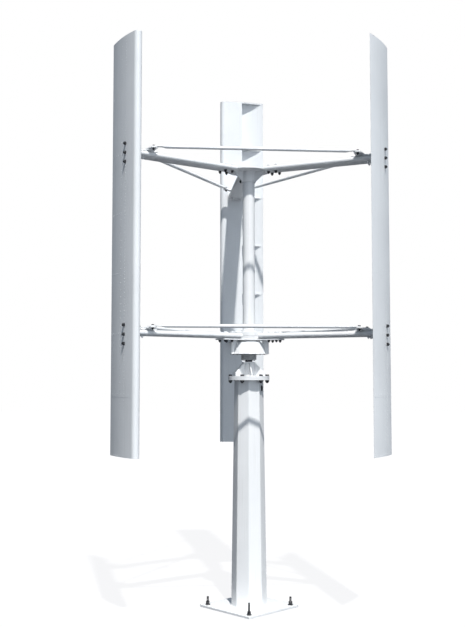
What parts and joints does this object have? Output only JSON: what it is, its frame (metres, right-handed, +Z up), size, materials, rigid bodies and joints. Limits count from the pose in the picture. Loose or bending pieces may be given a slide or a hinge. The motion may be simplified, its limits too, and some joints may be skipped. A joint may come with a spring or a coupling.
{
  "type": "small wind turbine",
  "caption": "Small vertical-axis wind turbine: straight open-backed blades on tied arms turn about a flanged octagonal mast.",
  "frame": {"origin": "centre of the base plate's underside, on the rotor axis", "axes": "+Z up along the rotor axis; X and Y along the sides of the square base plate"},
  "size_m": [1.8943, 1.8502, 3.972],
  "materials": {
    "white_paint": "satin",
    "blade_white": "satin",
    "zinc_steel": "satin",
    "dark_steel": "satin",
    "generator_grey": "matte",
    "laminated_steel": "matte",
    "magnet_nickel": "satin",
    "bearing_steel": "polished",
    "black_rubber": "matte"
  },
  "bodies": {
    "mast": {"base_plate": "white_paint", "anchor_bolt_1": "zinc_steel", "anchor_bolt_2": "zinc_steel", "anchor_bolt_3": "zinc_steel", "anchor_bolt_4": "zinc_steel", "tower_tube": "white_paint", "cable_grommet": "black_rubber", "tower_flange": "white_paint", "adapter_flange": "white_paint", "flange_bolt_1": "zinc_steel", "flange_bolt_2": "zinc_steel", "flange_bolt_3": "zinc_steel", "flange_bolt_4": "zinc_steel", "flange_bolt_5": "zinc_steel", "flange_bolt_6": "zinc_steel", "adapter_stand": "white_paint", "stator_shaft": "dark_steel", "stator_neck": "generator_grey", "stator_core": "laminated_steel", "bearing_lower": "bearing_steel", "bearing_upper": "bearing_steel"},
    "rotor": {"generator_housing": "white_paint", "generator_cover": "generator_grey", "magnet_ring": "magnet_nickel", "rotor_tube": "white_paint", "upper_hub": "white_paint", "lower_hub": "white_paint", "arm_upper_1": "white_paint", "tie_rod_upper_1": "white_paint", "tip_bracket_upper_1": "white_paint", "blade_anchor_upper_1": "zinc_steel", "arm_upper_2": "white_paint", "tie_rod_upper_2": "white_paint", "tip_bracket_upper_2": "white_paint", "blade_anchor_upper_2": "zinc_steel", "arm_upper_3": "white_paint", "tie_rod_upper_3": "white_paint", "tip_bracket_upper_3": "white_paint", "blade_anchor_upper_3": "zinc_steel", "arm_lower_1": "white_paint", "tie_rod_lower_1": "white_paint", "tip_bracket_lower_1": "white_paint", "blade_anchor_lower_1": "zinc_steel", "arm_lower_2": "white_paint", "tie_rod_lower_2": "white_paint", "tip_bracket_lower_2": "white_paint", "blade_anchor_lower_2": "zinc_steel", "arm_lower_3": "white_paint", "tie_rod_lower_3": "white_paint", "tip_bracket_lower_3": "white_paint", "blade_anchor_lower_3": "zinc_steel", "blade_outer_skin_1": "blade_white", "blade_inner_skin_1": "blade_white", "blade_frame_1": "blade_white", "blade_outer_skin_2": "blade_white", "blade_inner_skin_2": "blade_white", "blade_frame_2": "blade_white", "blade_outer_skin_3": "blade_white", "blade_inner_skin_3": "blade_white", "blade_frame_3": "blade_white"}
  },
  "joints": [
    {"name": "rotor_spin", "type": "hinge", "parent": "mast", "child": "rotor", "pos_m": [0, 0, 1.94], "axis": [0, 0, 1], "continuous": true}
  ]
}
